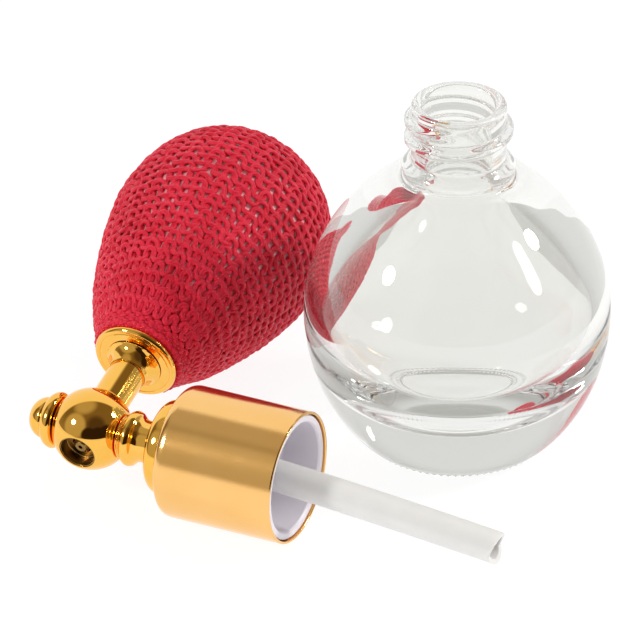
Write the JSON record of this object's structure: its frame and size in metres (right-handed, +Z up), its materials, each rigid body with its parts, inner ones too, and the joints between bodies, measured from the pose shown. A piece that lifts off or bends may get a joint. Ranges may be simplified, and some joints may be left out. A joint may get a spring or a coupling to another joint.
{
  "type": "perfume atomiser",
  "caption": "Round clear glass perfume bottle with its gold spray head lying beside it: screw collar, dip tube, ball nozzle and red knitted squeeze bulb.",
  "frame": {"origin": "middle of the set on the table, under the centre of its bounding box", "axes": "+Z up; the viewer of the picture stands on the -Y side, +X to the viewer's right"},
  "size_m": [0.0944, 0.1025, 0.0609],
  "materials": {
    "clear_glass": "clear, fire polished",
    "polished_gold": "mirror polished gold plate",
    "dark_brass": "bare brass, dark from the drill",
    "satin_gold": "gold anodised, glossy with a fine turned grain",
    "white_liner": "moulded white",
    "milky_plastic": "milky translucent",
    "foam_washer": "soft foamed sheet",
    "black_rubber": "matt",
    "pink_rubber": "matt",
    "red_knit": "knitted thread with a soft sheen"
  },
  "bodies": {
    "bottle": {"glass_bottle": "clear_glass"},
    "head": {"ball_body": "polished_gold", "nozzle_cup": "dark_brass", "spray_tip": "dark_brass", "finial_ring": "polished_gold", "finial_knob": "polished_gold", "turned_neck": "polished_gold", "shoulder_dome": "polished_gold", "slip_ring": "milky_plastic", "tube_socket": "white_liner", "dip_tube": "milky_plastic", "air_stem": "polished_gold", "stem_boss": "polished_gold", "bulb_flange": "polished_gold", "bulb_nipple": "polished_gold", "rubber_bulb": "pink_rubber", "bulb_net": "red_knit"},
    "collar": {"collar_shell": "satin_gold", "thread_insert": "white_liner", "neck_gasket": "foam_washer"},
    "bulb_end": {"inlet_valve_body": "polished_gold", "net_gather": "red_knit"},
    "inlet_disc": {"inlet_valve_disc": "black_rubber"},
    "outlet_disc": {"outlet_valve_disc": "black_rubber"}
  },
  "joints": [
    {"name": "head_swing", "type": "hinge", "parent": "bottle", "child": "head", "pos_m": [0.09265, -0.04496, 0.08822], "axis": [0.622, 0.7439, -0.2444], "range_deg": [0, 93.64]},
    {"name": "collar_turn", "type": "hinge", "parent": "head", "child": "collar", "pos_m": [-0.03691, -0.01845, 0.0109], "axis": [0.9041, -0.4274, 0], "continuous": true},
    {"name": "bulb_squeeze", "type": "slide", "parent": "head", "child": "bulb_end", "axis": [-0.3365, -0.9409, -0.0372], "range_m": [0, 0.014], "stiffness_N_per_m": 200, "deforming": ["rubber_bulb", "bulb_net"]},
    {"name": "inlet_valve", "type": "slide", "parent": "bulb_end", "child": "inlet_disc", "axis": [-0.3365, -0.9409, -0.0372], "range_m": [0, 0.0012], "stiffness_N_per_m": 10},
    {"name": "outlet_valve", "type": "slide", "parent": "head", "child": "outlet_disc", "axis": [-0.4118, -0.8712, -0.2672], "range_m": [0, 0.0009], "stiffness_N_per_m": 10}
  ]
}
